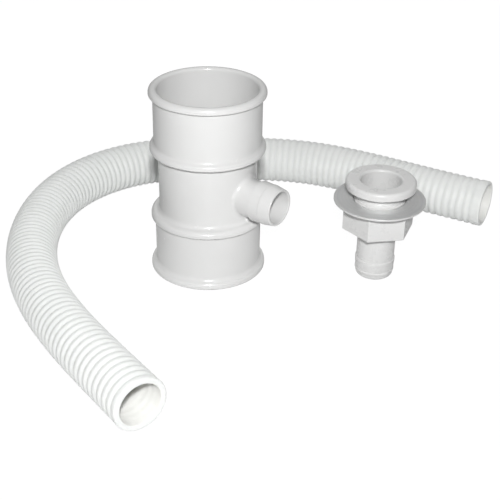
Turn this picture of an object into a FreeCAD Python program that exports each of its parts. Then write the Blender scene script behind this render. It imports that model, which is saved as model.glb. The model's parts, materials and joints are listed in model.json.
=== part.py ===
import FreeCAD, Part
import math
import os
import sys
import Sketcher

# Marine drain kit: a thru-hull fitting with its washer and nut, the drain hose, and the
# in-line duct tee that the hose drains. Millimetres, +Z up.
# The origin is on the thru-hull fitting's axis, on the underside of its flange (the face
# that seats on the hull skin). The fitting, the tee and the hose stand on one level, 70 mm
# below the origin; the washer and the nut sit around the fitting's barrel.

os.makedirs("parts", exist_ok=True)
doc = FreeCAD.newDocument("drain_kit")
Vector = FreeCAD.Vector
UP = Vector(0, 0, 1)

# ------------------------------------------------------------------ driving sizes
# alias, value, note
SIZES = [
    # thru-hull fitting: flange, threaded barrel, hose barb
    ("stand_height", 70.0, "flange underside above the standing level"),
    ("flange_radius", 25.06, "outer radius of the flange"),
    ("flange_thick", 5.6, "flange thickness"),
    ("flange_edge", 2.2, "rounding of the flange's upper edge"),
    ("flange_low_edge", 0.5, "rounding of the flange's lower edge"),
    ("mouth_radius", 14.4, "bore radius at the mouth"),
    ("mouth_edge", 1.6, "rounding of the mouth"),
    ("mouth_depth", 24.0, "length of the wide bore below the flange underside"),
    ("bore_radius", 10.6, "bore radius through the barb"),
    ("bore_taper_end", 34.0, "where the bore reaches its barb radius"),
    ("thread_crest", 18.3, "thread crest radius of the barrel"),
    ("thread_root", 17.2, "thread root radius of the barrel"),
    ("thread_pitch", 2.309, "thread pitch, 11 threads to the inch"),
    ("relief_length", 8.0, "plain relief under the flange, before the thread starts"),
    ("barrel_length", 30.0, "barrel length below the flange underside"),
    ("tail_neck", 13.7, "barb neck radius"),
    ("tail_ridge_a", 14.4, "radius of the upper barb ridge"),
    ("tail_ridge_a_at", 56.4, "upper ridge, top of its land"),
    ("tail_ridge_b", 14.15, "radius of the lower barb ridge"),
    ("tail_ridge_b_at", 64.5, "lower ridge, top of its land"),
    ("ridge_land", 1.0, "length of a ridge's cylindrical land"),
    ("tail_tip", 12.0, "radius of the barb's end face"),
    # washer
    ("washer_outer", 32.6, "washer outer radius"),
    ("washer_inner", 18.9, "washer hole radius"),
    ("washer_thick", 1.5, "washer thickness"),
    ("washer_edge", 0.3, "washer edge rounding"),
    ("washer_gap", 0.02, "gap between the washer and the nut"),
    # nut
    ("nut_corner", 26.0, "nut radius across corners"),
    ("nut_turn", 189.3, "azimuth of a nut corner, degrees"),
    ("nut_top", 11.0, "nut top below the flange underside"),
    ("nut_tall", 21.4, "nut height"),
    ("nut_minor", 17.4, "nut bore radius, its thread's crest"),
    ("nut_major", 18.45, "nut thread root radius"),
    ("nut_edge", 0.7, "rounding of the nut's upright edges"),
    ("nut_rim", 0.5, "chamfer around the nut's faces"),
    # duct tee
    ("tee_east", -122.13, "tee axis, X"),
    ("tee_north", 10.68, "tee axis, Y"),
    ("tee_tall", 138.0, "tee height"),
    ("collar_radius", 38.0, "collar outer radius, 3 inch duct hose size"),
    ("collar_bore", 35.2, "collar inner radius"),
    ("mouth_lip", 2.0, "rounding of the top rim's inner edge"),
    ("middle_radius", 34.93, "middle tube outer radius"),
    ("middle_bore", 32.4, "middle tube inner radius"),
    ("bead_radius", 40.9, "bead crest radius"),
    ("foot_radius", 41.6, "crest radius of the lowest bead"),
    ("rim_under", 133.4, "underside of the top rim"),
    ("bead_b_under", 92.7, "underside of the second bead"),
    ("bead_c_under", 40.7, "underside of the third bead"),
    ("barb_height", 64.9, "height of the side barb's axis"),
    ("barb_turn", -36.0, "azimuth of the side barb, degrees"),
    ("barb_reach", 62.6, "side barb's end from the tee axis"),
    ("barb_neck", 13.3, "side barb neck radius"),
    ("barb_ridge_a", 14.6, "side barb inner ridge radius"),
    ("barb_ridge_a_at", 45.6, "start of the inner ridge's land"),
    ("barb_ridge_b", 14.4, "side barb outer ridge radius"),
    ("barb_ridge_b_at", 53.7, "start of the outer ridge's land"),
    ("barb_bore", 11.5, "side barb bore radius"),
    ("barb_root", 3.0, "fillet at the side barb's root"),
    # hose
    ("hose_outer", 18.06, "hose outer radius"),
    ("hose_bore", 14.3, "hose bore radius, 1-1/8 inch hose"),
    ("hose_gap", 5.0, "gap between two hose lengths at a bend hinge"),
    ("hose_rear_cuff", 10.0, "straight smooth cuff at the rear end"),
    ("hose_front_cuff", 12.0, "straight smooth cuff at the front end"),
    ("hose_end_edge", 0.8, "chamfer around the hose's end faces"),
    ("hose_bend_a", 120.0, "rear bend hinge, along the hose from its rear end"),
    ("hose_bend_b", 330.0, "front bend hinge, along the hose from its rear end"),
]
# Hose centreline in plan (X, Y), from the rear cuff to the front cuff.
CENTRELINE = [
    (84.92, 79.93), (65.81, 90.04), (43.6, 102.3), (21.5, 114.9), (-0.9, 126.96),
    (-24.05, 137.53), (-48.3, 145.19), (-73.47, 148.76), (-98.91, 149.36), (-124.36, 148.84),
    (-149.69, 146.48), (-174.4, 140.54), (-197.21, 129.39), (-216.71, 113.11), (-231.99, 92.83),
    (-242.46, 69.68), (-248.4, 44.96), (-250.37, 19.61), (-248.85, -5.78), (-244.15, -30.78),
    (-236.35, -54.99), (-225.79, -78.14), (-213.23, -100.27), (-199.28, -121.56),
    (-184.47, -142.25), (-169.25, -162.66), (-159.98, -175.02),
]


def point_alias(direction, index):
    """The alias of a centreline coordinate: line_east_a to line_east_z, line_east_aa, ..."""
    letter = "abcdefghijklmnopqrstuvwxyz"[index % 26]
    return "line_%s_%s" % (direction, letter * (1 + index // 26))


sheet = doc.addObject("Spreadsheet::Sheet", "Sizes")
for row, (alias, value, note) in enumerate(SIZES, start=1):
    sheet.set("A%d" % row, alias)
    sheet.set("B%d" % row, repr(value))
    sheet.set("C%d" % row, note)
    sheet.setAlias("B%d" % row, alias)
for index, (x, y) in enumerate(CENTRELINE):
    for column, direction, value in (("E", "east", x), ("F", "north", y)):
        cell = "%s%d" % (column, index + 1)
        sheet.set(cell, repr(value))
        sheet.setAlias(cell, point_alias(direction, index))
doc.recompute()

# The barrel's thread groove starts below the barrel, so it runs out at the end.
THREAD_START = -31.0
LEFT, RIGHT = 1, -1  # side of an outline's arc, seen along the path, on which its centre lies
OVERCUT = 1.0  # how far a cutting outline passes the faces it opens


# ------------------------------------------------------------------ sizes as expressions
class Dim:
    """A size that carries its number and the expression that gives it from the sheet."""

    def __init__(self, value, text=None):
        self.value = float(value)
        self.text = text or repr(self.value)

    def __add__(self, other):
        return combine(self, "+", other)

    def __radd__(self, other):
        return combine(other, "+", self)

    def __sub__(self, other):
        return combine(self, "-", other)

    def __rsub__(self, other):
        return combine(other, "-", self)

    def __mul__(self, other):
        return combine(self, "*", other)

    def __rmul__(self, other):
        return combine(other, "*", self)

    def __truediv__(self, other):
        return combine(self, "/", other)

    def __neg__(self):
        return combine(0.0, "-", self)


OPERATIONS = {
    "+": lambda first, second: first + second,
    "-": lambda first, second: first - second,
    "*": lambda first, second: first * second,
    "/": lambda first, second: first / second,
}


def as_dim(number):
    return number if isinstance(number, Dim) else Dim(number)


def combine(first, sign, second):
    first, second = as_dim(first), as_dim(second)
    value = OPERATIONS[sign](first.value, second.value)
    return Dim(value, "(%s %s %s)" % (first.text, sign, second.text))


class SheetSizes:
    """Gives each alias of the sheet as a Dim: size.flange_radius."""

    def __getattr__(self, alias):
        return Dim(getattr(sheet, alias), "Sizes." + alias)


size = SheetSizes()


# ------------------------------------------------------------------ modelling helpers
def new_body(name):
    body = doc.addObject("PartDesign::Body", name)
    body.Label = name
    return body


def new_sketch(body, name, role):
    """An empty sketch on the body's origin plane of that role."""
    plane = [f for f in body.Origin.OriginFeatures if f.Role == role][0]
    sketch = body.newObject("Sketcher::SketchObject", name)
    sketch.AttachmentSupport = [(plane, "")]
    sketch.MapMode = "FlatFace"
    return sketch


def constrain(sketch, kind, *target, to):
    """Adds a constraint with a value, bound to the sheet where the value comes from it."""
    index = sketch.addConstraint(Sketcher.Constraint(kind, *target, to.value))
    if "Sizes." in to.text:
        sketch.setExpression("Constraints[%d]" % index, to.text)


def add_arc(sketch, begin, end, radius, side):
    """Draws an arc; returns its index and its vertex numbers at begin and at end."""
    chord = end - begin
    half = chord.Length / 2
    left = Vector(-chord.y, chord.x, 0).normalize()
    centre = (begin + end) * 0.5 + left * (side * math.sqrt(radius * radius - half * half))
    begin_angle = math.atan2(begin.y - centre.y, begin.x - centre.x)
    end_angle = math.atan2(end.y - centre.y, end.x - centre.x)
    circle = Part.Circle(centre, UP, radius)
    if side == RIGHT:  # clockwise from begin to end, so the arc is drawn from its end
        arc = Part.ArcOfCircle(circle, end_angle, begin_angle)
        return sketch.addGeometry(arc, False), 2, 1
    arc = Part.ArcOfCircle(circle, begin_angle, end_angle)
    return sketch.addGeometry(arc, False), 1, 2


def outline(body, name, path):
    """A closed sketch on the XZ plane. Each entry is (x, y) or (x, y, radius, side): the edge
    that arrives at the point is then an arc of that radius, its centre LEFT or RIGHT of it."""
    sketch = new_sketch(body, name, "XZ_Plane")
    points = [(as_dim(entry[0]), as_dim(entry[1])) for entry in path]
    places = [Vector(x.value, y.value, 0) for x, y in points]
    count = len(path)
    edges = []  # geometry index, first vertex, last vertex
    for i in range(count):
        following = (i + 1) % count
        begin, end, entry = places[i], places[following], path[following]
        if len(entry) == 2:
            edges.append((sketch.addGeometry(Part.LineSegment(begin, end), False), 1, 2))
            continue
        radius = as_dim(entry[2])
        edges.append(add_arc(sketch, begin, end, radius.value, entry[3]))
        constrain(sketch, "Radius", edges[-1][0], to=radius)
    for i in range(count):
        edge, _, last = edges[i]
        next_edge, next_first, _ = edges[(i + 1) % count]
        sketch.addConstraint(
            Sketcher.Constraint("Coincident", edge, last, next_edge, next_first))
    for (edge, first, _), (x, y) in zip(edges, points):
        for kind, place, zero_axis in (("DistanceX", x, -2), ("DistanceY", y, -1)):
            if abs(place.value) < 1e-9:
                sketch.addConstraint(
                    Sketcher.Constraint("PointOnObject", edge, first, zero_axis))
            else:
                constrain(sketch, kind, -1, 1, edge, first, to=place)
    return sketch


def finish(body, feature):
    body.Tip = feature
    doc.recompute()
    return feature


def turn(body, name, sketch, kind="PartDesign::Revolution", axis="V_Axis"):
    feature = body.newObject(kind, name)
    feature.Profile = sketch
    feature.ReferenceAxis = (sketch, [axis])
    feature.Angle = 360
    return finish(body, feature)


def must_shrink(before, after):
    if not after.Shape.Volume < before.Shape.Volume - 1e-3:
        sys.exit(after.Name + " removed nothing")


def cut_round(body, name, sketch, before, axis="V_Axis"):
    """Turns the sketch into a groove cut out of the feature before it."""
    feature = turn(body, name, sketch, "PartDesign::Groove", axis)
    must_shrink(before, feature)
    return feature


def cut_thread(body, name, sketch, before, rise):
    feature = body.newObject("PartDesign::SubtractiveHelix", name)
    feature.Profile = sketch
    feature.ReferenceAxis = (sketch, ["V_Axis"])
    feature.Mode = 0  # pitch and height
    feature.setExpression("Pitch", "Sizes.thread_pitch")
    feature.Height = rise
    finish(body, feature)
    must_shrink(before, feature)


# ------------------------------------------------------------------ thru-hull fitting
def build_thru_hull():
    """One hollow moulding: round flange, threaded barrel with a plain relief under the flange,
    and a hose barb with two ridges. Its bore steps from the wide mouth to the barb's bore."""
    bore_chamfer = 0.6  # at the bore's lower end
    tip_flare, tip_round = 1.5, 2.6  # width of the tip's rounding; its height and radius
    ridge_bevel = 0.35  # above the lower ridge
    ridge_back = 0.6  # height of the upper ridge's back slope
    neck_fillet = 1.6
    root_inset = 0.1  # barrel's end face, inside the thread root
    crest_start = 0.4  # full crest above the nominal barrel end
    relief_slope = 0.8  # height of the slope from the crest to the relief
    relief_fillet = 0.6  # under the flange
    end = -size.stand_height
    barrel_end = -size.barrel_length - 0.8
    neck, crest, root = size.tail_neck, size.thread_crest, size.thread_root
    upper, lower = size.tail_ridge_a_at, size.tail_ridge_b_at

    hull = new_body("thru_hull_body")
    form = turn(hull, "hull_form", outline(hull, "hull_outline", [
        (size.mouth_radius + size.mouth_edge, size.flange_thick),
        (size.mouth_radius, size.flange_thick - size.mouth_edge, size.mouth_edge, LEFT),
        (size.mouth_radius, -size.mouth_depth),
        (size.bore_radius, -size.bore_taper_end),
        (size.bore_radius, end + bore_chamfer),
        (size.bore_radius + bore_chamfer, end),
        (size.tail_tip, end),
        (size.tail_tip + tip_flare, end + tip_round, tip_round, LEFT),
        (size.tail_ridge_b, -lower - size.ridge_land),
        (size.tail_ridge_b, -lower),
        (size.tail_ridge_b - ridge_bevel, -lower + ridge_bevel),
        (size.tail_ridge_a, -upper - size.ridge_land),
        (size.tail_ridge_a, -upper),
        (neck, -upper + ridge_back),
        (neck, barrel_end - neck_fillet),
        (neck + neck_fillet, barrel_end, neck_fillet, RIGHT),
        (root - root_inset, barrel_end),
        (crest, -size.barrel_length + crest_start),
        (crest, -size.relief_length - relief_slope),
        (root, -size.relief_length),
        (root, -relief_fillet),
        (root + relief_fillet, 0.0, relief_fillet, RIGHT),
        (size.flange_radius - size.flange_low_edge, 0.0),
        (size.flange_radius, size.flange_low_edge, size.flange_low_edge, LEFT),
        (size.flange_radius, size.flange_thick - size.flange_edge),
        (size.flange_radius - size.flange_edge, size.flange_thick, size.flange_edge, LEFT),
    ]))

    crest_overlap = 0.2  # the groove's outline passes the crest
    half_root = 0.25  # half the groove's width at the root
    flank = 0.45 / 1.1  # half the groove's widening per radial millimetre
    depth = sheet.thread_crest + crest_overlap - sheet.thread_root
    half_mouth = half_root + flank * depth
    groove = outline(hull, "hull_thread_tooth", [
        (root, THREAD_START - half_root),
        (crest + crest_overlap, THREAD_START - half_mouth),
        (crest + crest_overlap, THREAD_START + half_mouth),
        (root, THREAD_START + half_root)])
    cut_thread(hull, "hull_thread", groove, form, rise=29.3)
    return hull


# ------------------------------------------------------------------ washer
def build_washer():
    """A thin flat metal ring. It lies on the nut and slides freely on the barrel."""
    washer = new_body("backing_washer")
    inner, outer, edge = size.washer_inner, size.washer_outer, size.washer_edge
    low = -size.nut_top + size.washer_gap
    high = low + size.washer_thick
    turn(washer, "washer_form", outline(washer, "washer_outline", [
        (inner + edge, low, edge, LEFT), (outer - edge, low),
        (outer, low + edge, edge, LEFT), (outer, high - edge),
        (outer - edge, high, edge, LEFT), (inner + edge, high),
        (inner, high - edge, edge, LEFT), (inner, low + edge)]))
    return washer


# ------------------------------------------------------------------ hex nut
def draw_hexagon(sketch):
    """A regular hexagon inscribed in a construction circle, turned to the nut's azimuth."""
    corner = sheet.nut_corner
    angles = [math.radians(sheet.nut_turn + 60 * k) for k in range(7)]
    corners = [Vector(corner * math.cos(a), corner * math.sin(a), 0) for a in angles]
    sides = [sketch.addGeometry(Part.LineSegment(corners[k], corners[k + 1]), False)
             for k in range(6)]
    circle = sketch.addGeometry(Part.Circle(Vector(0, 0, 0), UP, corner), True)
    for k in range(6):
        sketch.addConstraint(
            Sketcher.Constraint("Coincident", sides[k], 2, sides[(k + 1) % 6], 1))
        sketch.addConstraint(Sketcher.Constraint("PointOnObject", sides[k], 1, circle))
    sketch.addConstraint(Sketcher.Constraint("Coincident", circle, 3, -1, 1))
    constrain(sketch, "Radius", circle, to=size.nut_corner)
    for k in range(5):
        sketch.addConstraint(Sketcher.Constraint("Equal", sides[k], sides[k + 1]))
    constrain(sketch, "DistanceY", -1, 1, sides[0], 1,
              to=Dim(corners[0].y, "Sizes.nut_corner * sin(Sizes.nut_turn * 1 deg)"))


def build_nut():
    """A moulded hexagon with a full female thread that matches the barrel's, with running
    clearance."""
    nut = new_body("hex_nut")
    sketch = new_sketch(nut, "nut_hexagon", "XY_Plane")
    sketch.setExpression("AttachmentOffset.Base.z", "-Sizes.nut_top - Sizes.nut_tall")
    draw_hexagon(sketch)
    block = nut.newObject("PartDesign::Pad", "nut_block")
    block.Profile = sketch
    block.setExpression("Length", "Sizes.nut_tall")
    finish(nut, block)

    upright = []
    for number, edge in enumerate(block.Shape.Edges, start=1):
        begin, end = edge.Vertexes[0], edge.Vertexes[1]
        if abs(begin.X - end.X) < 1e-6 and abs(begin.Y - end.Y) < 1e-6:
            upright.append("Edge%d" % number)
    rounded = nut.newObject("PartDesign::Fillet", "nut_upright_edges")
    rounded.Base = (block, upright)
    rounded.setExpression("Radius", "Sizes.nut_edge")
    finish(nut, rounded)

    end_faces = [
        "Face%d" % number for number, face in enumerate(rounded.Shape.Faces, start=1)
        if abs(abs(face.normalAt(0, 0).z) - 1) < 1e-6
        and face.Surface.TypeId == "Part::GeomPlane"]
    rim = nut.newObject("PartDesign::Chamfer", "nut_face_edges")
    rim.Base = (rounded, end_faces)
    rim.setExpression("Size", "Sizes.nut_rim")
    finish(nut, rim)

    top = -size.nut_top
    bottom = top - size.nut_tall
    minor, major = size.nut_minor, size.nut_major
    lead = 1.2  # the bore opens with a countersink at both faces
    bore = cut_round(nut, "nut_bore", outline(nut, "nut_bore_outline", [
        (0.0, bottom - OVERCUT), (minor + lead + OVERCUT, bottom - OVERCUT),
        (minor, bottom + lead), (minor, top - lead),
        (minor + lead + OVERCUT, top + OVERCUT), (0.0, top + OVERCUT)]), rim)

    # Half a pitch from the barrel's groove, and three turns lower to start below the nut.
    first = THREAD_START + (0.5 - 3) * sheet.thread_pitch
    bore_overlap = 0.2  # the groove's outline starts inside the bore
    half_root, half_mouth = 0.54, 1.05  # half the groove's width at its root and mouth
    groove = outline(nut, "nut_thread_tooth", [
        (minor - bore_overlap, first - half_mouth), (major, first - half_root),
        (major, first + half_root), (minor - bore_overlap, first + half_mouth)])
    cut_thread(nut, "nut_thread", groove, bore, rise=32.0)
    return nut


# ------------------------------------------------------------------ duct tee
def shoulder(low_radius, low, high_radius, high):
    """Two equal arcs that carry the wall smoothly from one radius to a smaller one above it."""
    inset, rise = low_radius - high_radius, high - low
    radius = (inset * inset + rise * rise) / (4.0 * inset)
    return [((low_radius + high_radius) / 2.0, (low + high) / 2.0, radius, LEFT),
            (high_radius, high, radius, RIGHT)]


def bead(radius_below, under, radius_above, height):
    """A bead with a flat underside and a shoulder that ends at the given height above it."""
    edge, land_top = 0.6, 1.8
    crest = size.bead_radius
    return [(radius_below, under), (crest - edge, under),
            (crest, under + edge, edge, LEFT), (crest, under + land_top),
            *shoulder(crest, under + land_top, radius_above, under + height)]


def tee_outline(core):
    """The tee's outer wall from the foot up, closed at the core radius inside the wall."""
    foot_edge, foot_land_top, foot_height = 0.8, 2.0, 8.0
    rim_low_edge, rim_round = 0.7, 3.0
    collar, middle = size.collar_radius, size.middle_radius
    foot, crest = size.foot_radius, size.bead_radius
    rim_under, top = size.rim_under, size.tee_tall
    return [
        (core, 0.0), (foot - foot_edge, 0.0),
        (foot, foot_edge, foot_edge, LEFT), (foot, foot_land_top),
        *shoulder(foot, foot_land_top, collar, foot_height),
        *bead(collar, size.bead_c_under, middle, 8.3),
        *bead(middle, size.bead_b_under, collar, 6.4),
        (collar, rim_under), (crest - rim_low_edge, rim_under),
        (crest, rim_under + rim_low_edge, rim_low_edge, LEFT), (crest, top - rim_round),
        (crest - rim_round, top, rim_round, LEFT), (core, top)]


def side_barb_outline():
    """Half the barb's section above its axis; it starts inside the middle tube's wall."""
    start, core = 30.0, 5.0
    end_inset, end_edge = 0.1, 0.6
    outer_bevel, inner_back = 0.3, 0.5  # slopes on the tee side of the two ridges
    neck, reach = size.barb_neck, size.barb_reach
    end_radius = neck - end_inset
    inner, inner_at = size.barb_ridge_a, size.barb_ridge_a_at
    outer, outer_at = size.barb_ridge_b, size.barb_ridge_b_at
    return [
        (start, core), (reach, core), (reach, end_radius - end_edge),
        (reach - end_edge, end_radius, end_edge, LEFT),
        (outer_at + size.ridge_land, outer), (outer_at, outer),
        (outer_at - outer_bevel, outer - outer_bevel),
        (inner_at + size.ridge_land, inner), (inner_at, inner),
        (inner_at - inner_back, neck), (start, neck)]


def tee_bore_outline():
    core = 20.0
    foot_chamfer = 0.6
    wide, narrow = size.collar_bore, size.middle_bore
    lower, upper = size.bead_c_under, size.bead_b_under
    top, lip = size.tee_tall, size.mouth_lip
    return [
        (core, -OVERCUT), (wide + foot_chamfer + OVERCUT, -OVERCUT), (wide, foot_chamfer),
        (wide, lower - 1.0), (narrow, lower + 6.0), (narrow, upper - 3.5), (wide, upper + 3.5),
        (wide, top - lip), (wide + lip, top, lip, RIGHT),
        (wide + lip, top + OVERCUT), (core, top + OVERCUT)]


def barb_root_edges(shape):
    """The edges where the side barb meets the outside of the middle tube."""
    found = []
    for number, edge in enumerate(shape.Edges, start=1):
        middle = edge.valueAt((edge.FirstParameter + edge.LastParameter) / 2)
        points = [middle] + [vertex.Point for vertex in edge.Vertexes]
        if all(abs(math.hypot(p.x, p.y) - sheet.middle_radius) < 1e-3 and p.x > 20
               and abs(math.hypot(p.y, p.z - sheet.barb_height) - sheet.barb_neck) < 1e-3
               for p in points):
            found.append("Edge%d" % number)
    if not found:
        sys.exit("the side barb's root edge wasn't found")
    return found


def build_tee():
    """One hollow moulding. Each collar has a bead at both ends, and the middle tube is
    narrower. A side barb leaves the middle tube, its root filleted. The body is drawn with the
    barb along its own +X, then turned and moved into place."""
    tee = new_body("duct_tee")
    turn(tee, "tee_form", outline(tee, "tee_outline", tee_outline(core=28.0)))

    barb_sketch = outline(tee, "barb_outline", side_barb_outline())
    barb_sketch.setExpression("AttachmentOffset.Base.y", "Sizes.barb_height")
    barb = turn(tee, "side_barb", barb_sketch, axis="H_Axis")
    fillet = tee.newObject("PartDesign::Fillet", "barb_root_fillet")
    fillet.Base = (barb, barb_root_edges(barb.Shape))
    fillet.setExpression("Radius", "Sizes.barb_root")
    finish(tee, fillet)

    bore = cut_round(
        tee, "tee_bore", outline(tee, "tee_bore_outline", tee_bore_outline()), fillet)

    start = 24.0  # inside the middle tube's bore
    chamfer = 0.4  # at the barb's end face
    reach, radius = size.barb_reach, size.barb_bore
    port_sketch = outline(tee, "barb_bore_outline", [
        (start, 0.0), (reach + OVERCUT, 0.0), (reach + OVERCUT, radius + chamfer + OVERCUT),
        (reach - chamfer, radius), (start, radius)])
    port_sketch.setExpression("AttachmentOffset.Base.y", "Sizes.barb_height")
    cut_round(tee, "barb_bore", port_sketch, bore, axis="H_Axis")

    tee.setExpression("Placement.Base.x", "Sizes.tee_east")
    tee.setExpression("Placement.Base.y", "Sizes.tee_north")
    tee.setExpression("Placement.Base.z", "-Sizes.stand_height")
    tee.Placement = FreeCAD.Placement(
        Vector(sheet.tee_east, sheet.tee_north, -sheet.stand_height),
        FreeCAD.Rotation(UP, sheet.barb_turn))
    return tee


# ------------------------------------------------------------------ drain hose
# The hose lies on the standing level in one bend. It is three lengths of one tube, with a
# small gap at each of its two bend hinges. Each length is a tube swept along the sheet's
# centreline, and each end of the hose has a straight smooth cuff. Distances along the hose
# are from the rear cuff's end face.
curve = Part.BSplineCurve()
curve.interpolate([
    Vector(getattr(sheet, point_alias("east", k)), getattr(sheet, point_alias("north", k)),
           sheet.hose_outer - sheet.stand_height)
    for k in range(len(CENTRELINE))])
curve_length = curve.length()
hose_length = sheet.hose_rear_cuff + curve_length + sheet.hose_front_cuff


def curve_parameter(distance):
    """The centreline's parameter at a distance along the hose."""
    along = min(max(distance - sheet.hose_rear_cuff, 0.0), curve_length)
    return curve.parameterAtDistance(along, curve.FirstParameter)


def cuff(start, away, length):
    """A straight end of the hose: a plain ring from start, its far edges eased."""
    edge = sheet.hose_end_edge
    outer, inner = sheet.hose_outer, sheet.hose_bore
    ring = [(inner, 0), (outer, 0), (outer, length - edge), (outer - edge, length),
            (inner + 0.5 * edge, length), (inner, length - 0.5 * edge), (inner, 0)]
    face = Part.Face(Part.makePolygon([Vector(radius, 0, z) for radius, z in ring]))
    solid = face.revolve(Vector(0, 0, 0), UP, 360)
    solid.Placement = FreeCAD.Placement(start, FreeCAD.Rotation(UP, away))
    return solid


def swept_rod(spine, start, direction, radius):
    sweep = Part.BRepOffsetAPI.MakePipeShell(spine)
    sweep.setBiNormalMode(UP)
    sweep.add(Part.Wire([Part.Circle(start, direction, radius).toShape()]), False, False)
    sweep.build()
    sweep.makeSolid()
    return sweep.shape()


def build_hose_length(name, begin, end):
    span = curve.copy()
    span.segment(curve_parameter(begin), curve_parameter(end))
    spine = Part.Wire([span.toShape()])
    (start, start_way), (finish_point, finish_way) = [
        (span.value(u), span.tangent(u)[0]) for u in (span.FirstParameter, span.LastParameter)]
    outside, inside = [swept_rod(spine, start, start_way, radius)
                       for radius in (sheet.hose_outer, sheet.hose_bore)]
    tube = outside.cut(inside)
    if begin <= 0:
        tube = tube.fuse(cuff(start, start_way * -1, sheet.hose_rear_cuff))
    if end >= hose_length:
        tube = tube.fuse(cuff(finish_point, finish_way, sheet.hose_front_cuff))
    piece = doc.addObject("Part::Feature", name)
    piece.Label = name
    piece.Shape = tube.Solids[0] if len(tube.Solids) == 1 else tube
    return piece


# ------------------------------------------------------------------ pieces and files
half_gap = sheet.hose_gap / 2
rear_hinge, front_hinge = sheet.hose_bend_a, sheet.hose_bend_b
pieces = [
    build_thru_hull(),
    build_washer(),
    build_nut(),
    build_tee(),
    build_hose_length("hose_rear_length", 0.0, rear_hinge - half_gap),
    build_hose_length("hose_middle_length", rear_hinge + half_gap, front_hinge - half_gap),
    build_hose_length("hose_front_length", front_hinge + half_gap, hose_length),
]
doc.recompute()
for obj in doc.Objects:
    if "Invalid" in obj.State or "Error" in obj.State:
        sys.exit("%s failed: %s" % (obj.Name, obj.State))
for piece in pieces:
    shape = piece.Shape
    if shape.isNull() or not shape.isValid() or shape.Volume <= 0 or len(shape.Solids) != 1:
        sys.exit("%s has no single valid solid" % piece.Label)
for piece in pieces:
    piece.Shape.exportStep("parts/%s.step" % piece.Label)
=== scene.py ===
"""A white drain hose with its moulded tee, through-hull body, hex nut and steel washer.

The hose lies flat, its centreline level in X and Y, and Z is up. The viewer looks along +Y, so
"front" is towards -Y. The hose's two cuffs are its rear and front ends. The hose is worked out
in millimetres and everything else in metres.
"""
import json
import math

import bmesh
import bpy
import numpy as np
from mathutils import Matrix, Vector


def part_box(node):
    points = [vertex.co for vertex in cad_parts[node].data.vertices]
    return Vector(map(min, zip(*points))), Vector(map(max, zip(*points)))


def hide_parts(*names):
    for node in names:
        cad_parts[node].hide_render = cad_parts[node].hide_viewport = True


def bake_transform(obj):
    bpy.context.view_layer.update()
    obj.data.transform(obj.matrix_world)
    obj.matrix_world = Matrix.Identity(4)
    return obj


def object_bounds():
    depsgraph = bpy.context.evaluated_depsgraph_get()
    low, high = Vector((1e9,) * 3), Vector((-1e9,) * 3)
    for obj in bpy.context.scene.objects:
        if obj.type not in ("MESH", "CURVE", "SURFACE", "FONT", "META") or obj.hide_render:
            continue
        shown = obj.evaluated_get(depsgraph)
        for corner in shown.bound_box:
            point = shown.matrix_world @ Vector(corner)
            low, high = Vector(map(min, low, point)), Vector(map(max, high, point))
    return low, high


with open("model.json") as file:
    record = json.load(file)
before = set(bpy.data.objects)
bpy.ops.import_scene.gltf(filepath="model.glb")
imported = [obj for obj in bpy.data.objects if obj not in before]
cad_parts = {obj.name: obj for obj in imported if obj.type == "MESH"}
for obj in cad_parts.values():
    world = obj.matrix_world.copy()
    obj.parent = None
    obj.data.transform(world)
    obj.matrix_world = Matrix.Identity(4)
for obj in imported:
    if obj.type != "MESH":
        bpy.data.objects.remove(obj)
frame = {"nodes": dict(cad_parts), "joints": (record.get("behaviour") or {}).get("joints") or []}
cad_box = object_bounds()
nodes = frame["nodes"]
joints = {joint["name"]: joint for joint in frame["joints"]}
scene = bpy.context.scene

MM = 0.001


# ------------------------------------------------------------------ node helpers

class Nodes:
    """Short ways to add and link nodes in a shader tree. It starts by emptying the tree."""

    def __init__(self, tree):
        self.tree = tree
        tree.nodes.clear()

    def add(self, kind, **props):
        node = self.tree.nodes.new(kind)
        for key, value in props.items():
            setattr(node, key, value)
        return node

    def put(self, socket, value):
        """Link a socket, or set a plain value."""
        if isinstance(value, bpy.types.NodeSocket):
            self.tree.links.new(value, socket)
        else:
            socket.default_value = value

    def math(self, operation, *values):
        node = self.add("ShaderNodeMath", operation=operation)
        for socket, value in zip(node.inputs, values):
            self.put(socket, value)
        return node.outputs[0]


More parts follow.
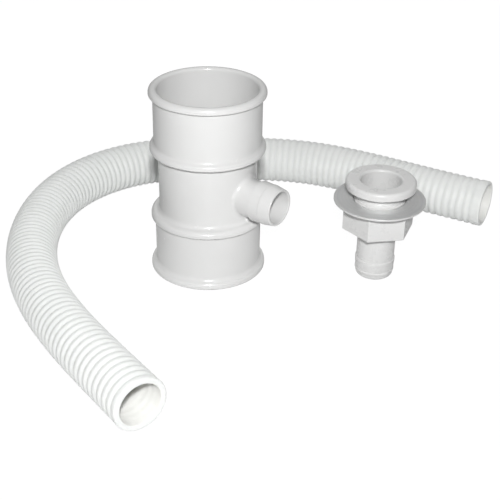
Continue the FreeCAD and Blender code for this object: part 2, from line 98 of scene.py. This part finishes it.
class Mat(Nodes):
    """A node material around a Principled shader."""

    def __init__(self, name):
        self.material = bpy.data.materials.new(name)
        self.material.use_nodes = True
        super().__init__(self.material.node_tree)
        self.out = self.add("ShaderNodeOutputMaterial")
        self.principled = self.add("ShaderNodeBsdfPrincipled")
        self.put(self.out.inputs["Surface"], self.principled.outputs[0])

    def surface(self, values):
        """Set or link the Principled shader's inputs by name."""
        for key, value in values.items():
            self.put(self.principled.inputs[key], value)

    def coords(self):
        return self.add("ShaderNodeTexCoord").outputs["Object"]

    def noise(self, vector, scale, detail, rough):
        node = self.add("ShaderNodeTexNoise", noise_dimensions="3D")
        self.put(node.inputs["Vector"], vector)
        return self.tune_noise(node, scale, detail, rough)

    def line_noise(self, distance, per_metre, detail, rough):
        """Noise that varies with one distance only."""
        position = self.math("MULTIPLY", distance, per_metre)
        node = self.add("ShaderNodeTexNoise", noise_dimensions="1D")
        self.put(node.inputs["W"], position)
        return self.tune_noise(node, 1.0, detail, rough)

    def tune_noise(self, node, scale, detail, rough):
        node.inputs["Scale"].default_value = scale
        node.inputs["Detail"].default_value = detail
        node.inputs["Roughness"].default_value = rough
        return node.outputs[0]

    def blend(self, first, second, share):
        """Weighted sum of two values, where share is the weight of the first."""
        return self.math("ADD", self.math("MULTIPLY", first, share),
                         self.math("MULTIPLY", second, 1 - share))

    def ramp(self, value, low, high, out_low=0.0, out_high=1.0):
        node = self.add("ShaderNodeMapRange", clamp=True)
        for socket, setting in zip(node.inputs, (value, low, high, out_low, out_high)):
            self.put(socket, setting)
        return node.outputs[0]

    def mix(self, factor, first, second):
        node = self.add("ShaderNodeMix", data_type="RGBA")
        for index, value in ((0, factor), (6, first), (7, second)):
            self.put(node.inputs[index], value)
        return node.outputs[2]

    def bump(self, height, strength, distance, normal=None):
        node = self.add("ShaderNodeBump")
        self.put(node.inputs["Strength"], strength)
        self.put(node.inputs["Distance"], distance)
        self.put(node.inputs["Height"], height)
        if normal is not None:
            self.put(node.inputs["Normal"], normal)
        return node.outputs[0]


# ------------------------------------------------------------------ materials

def white_plastic(name, base, shade, rough):
    """Injection-moulded white plastic: faint flow marks and specks in colour, uneven gloss, and
    soft long waves under a fine orange peel."""
    mat = Mat(name)
    co = mat.coords()
    flow = mat.noise(co, scale=24.0, detail=2.0, rough=0.55)
    cloud = mat.noise(co, scale=70.0, detail=4.0, rough=0.6)
    tone = mat.blend(flow, cloud, share=0.6)
    colour = mat.mix(mat.ramp(tone, low=0.35, high=0.68), shade, base)
    speck = mat.ramp(mat.noise(co, scale=1400.0, detail=1.0, rough=0.5), low=0.74, high=0.80)
    speck_colour = (0.55, 0.54, 0.50, 1)
    colour = mat.mix(mat.math("MULTIPLY", speck, 0.10), colour, speck_colour)
    haze = mat.ramp(mat.noise(co, scale=120.0, detail=5.0, rough=0.65), low=0.35, high=0.75,
                    out_low=rough * 0.8, out_high=rough * 1.35)
    wave = mat.bump(mat.noise(co, scale=42.0, detail=2.0, rough=0.5),
                    strength=0.02, distance=0.0009)
    peel = mat.bump(mat.noise(co, scale=950.0, detail=2.0, rough=0.5),
                    strength=0.05, distance=0.00022, normal=wave)
    mat.surface({
        "Base Color": colour,
        "Roughness": haze,
        "IOR": 1.49,
        "Coat Weight": 0.05,
        "Coat Roughness": 0.06,
        "Subsurface Weight": 0.06,
        "Subsurface Radius": (0.004, 0.004, 0.004),
        "Subsurface Scale": 0.6,
        "Normal": peel,
    })
    return mat.material


def hose_plastic(name):
    """Soft matte hose: slightly cool white, fine grain, painted shade in the grooves, warmer
    inside.
    It reads the hose skins' "groove" and "inside" attributes."""
    cool_shade, cool_white = (0.79, 0.805, 0.792, 1), (0.835, 0.847, 0.835, 1)
    # the first colour here is painted shade for the groove bottoms
    groove_shade_colour, inside_colour = (0.62, 0.635, 0.625, 1), (0.85, 0.85, 0.825, 1)
    mat = Mat(name)
    co = mat.coords()
    cloud = mat.noise(co, scale=30.0, detail=4.0, rough=0.6)
    fine = mat.noise(co, scale=420.0, detail=3.0, rough=0.6)
    tone = mat.blend(cloud, fine, share=0.65)
    colour = mat.mix(mat.ramp(tone, low=0.36, high=0.66), cool_shade, cool_white)
    in_groove = mat.add("ShaderNodeAttribute", attribute_name="groove").outputs["Fac"]
    # painted shade: the groove bottoms are darkened a little, patchily, to deepen the ribs'
    # shading
    groove_shade = mat.math("MULTIPLY", mat.math("POWER", in_groove, 1.4),
                    mat.ramp(fine, low=0.2, high=0.8, out_low=0.6, out_high=1.0))
    colour = mat.mix(mat.math("MULTIPLY", groove_shade, 0.22), colour, groove_shade_colour)
    inside = mat.add("ShaderNodeAttribute", attribute_name="inside").outputs["Fac"]
    colour = mat.mix(mat.math("MULTIPLY", inside, 0.85), colour, inside_colour)
    gloss = mat.ramp(fine, low=0.3, high=0.7, out_low=0.42, out_high=0.56)
    long_wave = mat.bump(mat.noise(co, scale=90.0, detail=3.0, rough=0.55),
                         strength=0.20, distance=0.0006)
    grain = mat.bump(mat.noise(co, scale=1600.0, detail=3.0, rough=0.6),
                     strength=0.10, distance=0.00012, normal=long_wave)
    mat.surface({
        "Base Color": colour,
        "Roughness": gloss,
        "IOR": 1.45,
        "Subsurface Weight": 0.35,
        "Subsurface Radius": (1.0, 1.0, 0.95),
        "Subsurface Scale": 0.0025,
        "Diffuse Roughness": 0.2,
        "Sheen Weight": 0.05,
        "Normal": grain,
    })
    return mat.material


def turned_steel(name):
    """Stainless steel with concentric turning marks: rings around Z in height, gloss and tone,
    and an anisotropic highlight that runs around the axis."""
    dark_ring, light_ring = (0.74, 0.75, 0.755, 1), (0.86, 0.862, 0.857, 1)
    smear_colour = (0.60, 0.58, 0.54, 1)
    mat = Mat(name)
    co = mat.coords()
    split = mat.add("ShaderNodeSeparateXYZ")
    mat.put(split.inputs[0], co)
    x, y = split.outputs[0], split.outputs[1]
    radius = mat.math("SQRT", mat.math("ADD", mat.math("MULTIPLY", x, x),
                                       mat.math("MULTIPLY", y, y)))
    rings = mat.line_noise(radius, per_metre=2600.0, detail=4.0, rough=0.7)
    wide = mat.line_noise(radius, per_metre=420.0, detail=2.0, rough=0.5)
    smear = mat.noise(co, scale=60.0, detail=3.0, rough=0.55)
    tone = mat.blend(rings, wide, share=0.45)
    colour = mat.mix(mat.ramp(tone, low=0.30, high=0.70), dark_ring, light_ring)
    smear = mat.math("MULTIPLY", mat.ramp(smear, low=0.45, high=0.75), 0.25)
    colour = mat.mix(smear, colour, smear_colour)
    gloss = mat.ramp(rings, low=0.3, high=0.7, out_low=0.38, out_high=0.54)
    tangent = mat.add("ShaderNodeTangent", direction_type="RADIAL", axis="Z")
    mat.surface({
        "Base Color": colour,
        "Metallic": 0.60,
        "Roughness": gloss,
        "Anisotropic": 0.35,
        "Tangent": tangent.outputs[0],
        "Normal": mat.bump(tone, strength=0.22, distance=0.00012),
    })
    return mat.material


TEE = white_plastic("moulded_white_gloss", base=(0.72, 0.72, 0.715, 1),
                    shade=(0.705, 0.705, 0.70, 1), rough=0.21)
FITTING = white_plastic("moulded_white_satin", base=(0.71, 0.71, 0.705, 1),
                        shade=(0.69, 0.69, 0.685, 1), rough=0.30)
HOSE = hose_plastic("hose_white_matte")
STEEL = turned_steel("turned_stainless")

PIECE_MATERIALS = {
    "duct_tee": TEE,
    "thru_hull_body": FITTING,
    "hex_nut": FITTING,
    "backing_washer": STEEL,
}
for piece_name, piece_material in PIECE_MATERIALS.items():
    piece = nodes[piece_name]
    for slot in piece.material_slots:
        slot.material = piece_material
    if not piece.material_slots:
        piece.data.materials.append(piece_material)


# ------------------------------------------------------------------ hose centreline (mm)

# x, y of spline points from the rear cuff to the front cuff
LINE = np.array([
    (84.92, 79.93), (65.81, 90.04), (43.6, 102.3), (21.5, 114.9), (-0.9, 126.96),
    (-24.05, 137.53), (-48.3, 145.19), (-73.47, 148.76), (-98.91, 149.36), (-124.36, 148.84),
    (-149.69, 146.48), (-174.4, 140.54), (-197.21, 129.39), (-216.71, 113.11), (-231.99, 92.83),
    (-242.46, 69.68), (-248.4, 44.96), (-250.37, 19.61), (-248.85, -5.78), (-244.15, -30.78),
    (-236.35, -54.99), (-225.79, -78.14), (-213.23, -100.27), (-199.28, -121.56),
    (-184.47, -142.25), (-169.25, -162.66), (-159.98, -175.02)])
# each cuff runs straight beyond the spline: outward direction and length
REAR_OUT, REAR_STRAIGHT = (0.88840, -0.45906), 10.0
FRONT_OUT, FRONT_STRAIGHT = (0.59842, -0.80118), 12.0


def natural_spline(t, points):
    """Second derivatives of the natural cubic spline through points at t."""
    size = len(t)
    gap = np.diff(t)
    system = np.zeros((size, size))
    target = np.zeros((size, points.shape[1]))
    system[0, 0] = system[-1, -1] = 1
    for i in range(1, size - 1):
        system[i, i - 1:i + 2] = gap[i - 1], 2 * (gap[i - 1] + gap[i]), gap[i]
        target[i] = 6 * ((points[i + 1] - points[i]) / gap[i]
                         - (points[i] - points[i - 1]) / gap[i - 1])
    return np.linalg.solve(system, target)


def distances(points):
    """Running length along a chain of points."""
    return np.r_[0, np.cumsum(np.linalg.norm(np.diff(points, axis=0), axis=1))]


knots = distances(LINE)
second = natural_spline(knots, LINE)


def spline(t):
    i = np.clip(np.searchsorted(knots, t, side="right") - 1, 0, len(knots) - 2)
    gap = (knots[i + 1] - knots[i])[:, None]
    left = (knots[i + 1] - t)[:, None]
    done = (t - knots[i])[:, None]
    return (second[i] * left**3 / (6 * gap) + second[i + 1] * done**3 / (6 * gap)
            + (LINE[i] / gap - second[i] * gap / 6) * left
            + (LINE[i + 1] / gap - second[i + 1] * gap / 6) * done)


# the whole centreline, finely sampled, with its distance from the rear end
path = np.concatenate([
    LINE[0] + np.linspace(REAR_STRAIGHT, 0, 200, endpoint=False)[:, None] * np.array(REAR_OUT),
    spline(np.linspace(0, knots[-1], 20001)),
    LINE[-1] + np.linspace(0, FRONT_STRAIGHT, 201)[1:, None] * np.array(FRONT_OUT)])
path_s = distances(path)
LENGTH = float(path_s[-1])


def point_at(s):
    return np.stack([np.interp(s, path_s, path[:, axis]) for axis in (0, 1)], -1)


def direction_at(s):
    """Unit direction of the centreline towards the front end, over 1 mm."""
    step = point_at(s + 0.5) - point_at(s - 0.5)
    return step / np.linalg.norm(step, axis=1)[:, None]


# ------------------------------------------------------------------ hose section (mm)

low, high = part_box("hose_middle_length")
R_OUT = (high.z - low.z) / 2 / MM
Z_LINE = (high.z + low.z) / 2 / MM
CREST = R_OUT - 0.02        # crest radius, a hair inside the CAD hose
DEPTH = 0.90                # groove depth
BORE = 14.3                 # nominal bore radius
BORE_WALL = BORE - 0.3      # mean radius of the rippled bore
BORE_RIPPLE = 0.12
FLARE, FLARE_LENGTH = 1.2, 16.0     # the bore widens towards the rear end
REAR_INSET, FRONT_INSET = 3.0, 4.0  # the bore stops this far short of the ends
RIM_GAP = 0.3               # clear space between a rim and the corrugated wall

# mesh density: points around the hose, and steps along a nominal groove pitch
AROUND = 72
PITCH = 5.45
WALL_STEPS, BORE_STEPS = 12, 4
MERGE = 0.02                # profile points closer than this are dropped

# moulded ends: outer and inner radius, and how far each edge is rounded
REAR_LIP = dict(outer=CREST, inner=BORE + 0.9, outer_round=1.6, inner_round=1.2)
FRONT_LIP = dict(outer=CREST, inner=BORE - 0.1, outer_round=1.5, inner_round=0.9)

# grooves are counted from the front end: distance from the rear end, and the count there
GROOVE_AT, GROOVE_NO = np.array([
    (8.6, 121.0), (286.6, 71.0), (319.7, 65.0), (362.0, 57.0), (399.1, 50.0), (450.2, 40.0),
    (500.7, 30.0), (553.0, 20.0), (607.7, 10.0), (658.6, 1.0), (675.6, -2.0)]).T
REAR_PITCH = 5.56           # spacing before the first entry
SEAM = float(np.interp(82.0, GROOVE_NO[::-1], GROOVE_AT[::-1]))  # the skins meet in groove 82


def count(s):
    """How many grooves lie between s and the front end."""
    return np.interp(s, GROOVE_AT, GROOVE_NO) + np.maximum(0.0, GROOVE_AT[0] - s) / REAR_PITCH


def groove(s):
    """0 on a crest, 1 at the bottom of a groove. Crests are broad and grooves narrow."""
    number = count(s)
    wave = 0.5 + 0.5 * np.cos(2 * np.pi * number)
    return np.where((number > -0.5) & (number < 121.5), wave**1.5, 0.0)


def stations(s, radius, dip=0.0, inside=0.0):
    """Profile rows: distance along, radius, "groove" and "inside" attributes."""
    return np.stack(np.broadcast_arrays(s, radius, dip, inside), -1)


def lip(end, inward, outer, inner, outer_round, inner_round):
    """A moulded end as (distance, radius): 9 points of outer rim, then 8 of mouth."""
    q = np.linspace(0, math.pi / 2, 9)
    rim = np.stack([end + inward * outer_round * (1 - np.sin(q)),
                    outer - outer_round * 0.75 * (1 - np.cos(q))], -1)
    q = np.linspace(math.pi / 2, math.pi, 9)[1:]
    mouth = np.stack([end + inward * inner_round * (1 - np.sin(q)),
                      inner + inner_round * 0.8 * (1 - np.abs(np.cos(q)))], -1)
    return rim, mouth


def skin_profile(start, end):
    """Closed profile: forward along the outside, then back along the bore."""
    at_rear, at_front = start == 0, end == LENGTH
    steps = int(round((end - start) / (PITCH / WALL_STEPS)))
    s = np.linspace(start, end, steps + 1)
    wall = stations(s, CREST - DEPTH * groove(s), groove(s))

    bore_end = start + (REAR_INSET if at_rear else 0.0)
    s = np.arange(end - (FRONT_INSET if at_front else 0.0), bore_end, -PITCH / BORE_STEPS)
    s = np.r_[s, bore_end]
    radius = BORE_WALL + BORE_RIPPLE * np.cos(2 * np.pi * count(s))
    if at_rear:
        radius = radius + FLARE * (1 - np.clip(s / FLARE_LENGTH, 0, 1)) ** 2
    parts = [stations(s, radius, inside=1.0)]

    if at_front:
        rim, mouth = lip(LENGTH, -1, **FRONT_LIP)
        wall = wall[wall[:, 0] < LENGTH - FRONT_LIP["outer_round"] - RIM_GAP]
        parts = [stations(*rim.T), stations(*mouth.T, inside=[0.0] * 3 + [1.0] * 5)] + parts
    parts = [wall] + parts
    if at_rear:
        rim, mouth = lip(0.0, 1, **REAR_LIP)
        parts[0] = wall[wall[:, 0] > REAR_LIP["outer_round"] + RIM_GAP]
        parts = [stations(*rim[::-1].T)] + parts
        parts.append(stations(*mouth[::-1].T, inside=[1.0] * 5 + [0.3] * 3))
    return drop_close(np.concatenate(parts))


def drop_close(profile):
    """Drop points that nearly touch the one kept before them, around the closed profile."""
    def apart(i, j):
        return np.hypot(*(profile[i, :2] - profile[j, :2]))

    keep = [0]
    for i in range(1, len(profile)):
        if apart(i, keep[-1]) > MERGE:
            keep.append(i)
    if apart(keep[-1], 0) < MERGE:
        keep.pop()
    return profile[keep]


def build_hose(name, start, end):
    """A closed skin: the profile swept around the centreline."""
    profile = skin_profile(start, end)
    s, radius = profile[:, 0], profile[:, 1, None]
    centre, along = point_at(s), direction_at(s)
    side = np.stack([along[:, 1], -along[:, 0]], -1)
    angle = np.linspace(0, 2 * np.pi, AROUND, endpoint=False)
    points = np.zeros((len(profile), AROUND, 3))
    for axis in (0, 1):
        points[..., axis] = (centre[:, axis, None]
                             + side[:, axis, None] * radius * np.cos(angle))
    points[..., 2] = Z_LINE + radius * np.sin(angle)

    here = np.arange(len(profile) * AROUND).reshape(len(profile), AROUND)
    beside = np.roll(here, -1, 1)
    faces = np.stack([here, np.roll(here, -1, 0), np.roll(beside, -1, 0), beside], -1)
    mesh = bpy.data.meshes.new(name)
    mesh.from_pydata((points.reshape(-1, 3) * MM).tolist(), [], faces.reshape(-1, 4).tolist())
    mesh.update()
    for attribute, column in (("groove", 2), ("inside", 3)):
        layer = mesh.attributes.new(attribute, "FLOAT", "POINT")
        values = np.repeat(profile[:, column], AROUND).astype(np.float32)
        layer.data.foreach_set("value", values)
    bm = bmesh.new()
    bm.from_mesh(mesh)
    bmesh.ops.recalc_face_normals(bm, faces=bm.faces)
    bm.to_mesh(mesh)
    bm.free()
    mesh.polygons.foreach_set("use_smooth", np.ones(len(mesh.polygons), bool))
    mesh.update()
    obj = bpy.data.objects.new(name, mesh)
    scene.collection.objects.link(obj)
    mesh.materials.append(HOSE)
    return obj


BEND_REACH = 42.0  # length of a bend zone on each side of its hinge


def bend_zone(joint, toward):
    """Start and end points of a bend zone. toward is 1 for the front end, -1 for the rear."""
    hinge = np.array(joints[joint]["pos_m"])[:2] / MM
    nearest = path_s[np.hypot(*(path - hinge).T).argmin()]
    reach = direction_at(np.array([nearest]))[0] * toward * BEND_REACH
    return [(*((hinge + offset) * MM), Z_LINE * MM) for offset in (-reach, reach)]


rear_skin = build_hose("drain_hose_rear_skin", 0.0, SEAM)
front_skin = build_hose("drain_hose_front_skin", SEAM, LENGTH)
# skin, the part whose bend joint sets its bend zone, direction of that end, the CAD lengths it
# stands in for
for skin, part, toward, lengths in (
        (rear_skin, "hose_rear", -1, ["hose_rear_length"]),
        (front_skin, "hose_front", 1, ["hose_front_length", "hose_middle_length"])):
    zone_start, zone_end = bend_zone(part + "_bend", toward)
    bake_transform(skin)
    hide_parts(*lengths)


# ------------------------------------------------------------------ floor and world

def add_floor():
    """A pale floor just under the pieces, that looks nearly pure white to the camera."""
    bpy.ops.mesh.primitive_plane_add(size=6.0, location=(0, 1.0, cad_box[0][2] - 0.0002))
    floor = bpy.context.object
    floor.name = "pale_floor"
    mat = Mat("pale_floor")
    rays = mat.add("ShaderNodeLightPath")
    mat.surface({"Base Color": (0.66, 0.66, 0.66, 1), "Roughness": 0.9})
    glow = mat.add("ShaderNodeEmission")
    mat.put(glow.inputs["Color"], (1, 1, 1, 1))
    mat.put(glow.inputs["Strength"], 1.06)
    mixer = mat.add("ShaderNodeMixShader")
    glow_share = mat.math("MULTIPLY", rays.outputs["Is Camera Ray"], 0.92)
    for socket, value in zip(mixer.inputs, (glow_share, mat.principled.outputs[0],
                                            glow.outputs[0])):
        mat.put(socket, value)
    mat.put(mat.out.inputs["Surface"], mixer.outputs[0])
    floor.data.materials.append(mat.material)


def add_world():
    """White to the camera; to the pieces, a low surround a little brighter towards the viewer
    and overhead."""
    base, from_viewer, from_above = 0.07, 0.04, 0.12
    world = bpy.data.worlds.new("studio")
    scene.world = world
    world.use_nodes = True
    tree = Nodes(world.node_tree)
    out = tree.add("ShaderNodeOutputWorld")
    seen = tree.add("ShaderNodeBackground")
    tree.put(seen.inputs[0], (1, 1, 1, 1))
    surround = tree.add("ShaderNodeBackground")
    rays = tree.add("ShaderNodeLightPath")
    mixer = tree.add("ShaderNodeMixShader")
    co = tree.add("ShaderNodeTexCoord")
    split = tree.add("ShaderNodeSeparateXYZ")
    tree.put(split.inputs[0], co.outputs["Generated"])
    viewer = tree.math("MAXIMUM", tree.math("MULTIPLY", split.outputs[1], -1.0), 0.0)
    glare = tree.math("ADD", tree.math("MULTIPLY", viewer, from_viewer), base)
    above = tree.math("MAXIMUM", split.outputs[2], 0.0)
    glare = tree.math("ADD", glare, tree.math("MULTIPLY", above, from_above))
    tree.put(surround.inputs[0], (1.0, 1.0, 0.995, 1))
    tree.put(surround.inputs[1], glare)
    for socket, value in zip(mixer.inputs, (rays.outputs["Is Camera Ray"],
                                            surround.outputs[0], seen.outputs[0])):
        tree.put(socket, value)
    tree.put(out.inputs[0], mixer.outputs[0])


# ------------------------------------------------------------------ lights and camera

AIM = Vector((-0.09, 0.0, -0.02))


def area(name, location, size, power):
    """A disk light aimed at the middle of the pieces."""
    data = bpy.data.lights.new(name, "AREA")
    data.shape = "DISK"
    data.size = size
    data.energy = power
    light = bpy.data.objects.new(name, data)
    scene.collection.objects.link(light)
    light.location = location
    light.rotation_euler = (AIM - Vector(location)).to_track_quat("-Z", "Y").to_euler()
    return light


def add_camera(location, lens, pitch, roll):
    """A camera that looks along +Y, pitched down and rolled, in degrees."""
    data = bpy.data.cameras.new("view")
    data.sensor_fit = "HORIZONTAL"
    data.sensor_width = 36.0
    data.lens = lens
    data.clip_start = 0.01
    camera = bpy.data.objects.new("view", data)
    scene.collection.objects.link(camera)
    pitch, roll = math.radians(pitch), math.radians(roll)
    forward = Vector((0, math.cos(pitch), -math.sin(pitch)))
    up = Vector((0, math.sin(pitch), math.cos(pitch)))
    right = Vector((1, 0, 0))
    rolled_right = right * math.cos(roll) + up * math.sin(roll)
    rolled_up = up * math.cos(roll) - right * math.sin(roll)
    turn = Matrix((rolled_right, rolled_up, -forward)).transposed().to_4x4()
    camera.matrix_world = Matrix.Translation(Vector(location)) @ turn
    scene.camera = camera


add_floor()
add_world()
# a small flash above and behind the lens, so shadows hide behind the pieces
area("flash", location=(-0.08, -0.77, 0.505), size=0.06, power=7.7)
# a broad soft panel behind and above, for the tops and the far sides
far_panel = area("far_panel", location=(-0.1, 1.15, 0.95), size=1.2, power=8.0)
far_panel.visible_glossy = False
add_camera(location=(-0.09124, -0.68154, 0.34423), lens=77.95, pitch=30.3014, roll=1.0689)

scene.view_settings.view_transform = "Standard"
scene.view_settings.look = "None"
scene.view_settings.exposure = 0.0
scene.cycles.use_denoising = True
scene.cycles.max_bounces = 8
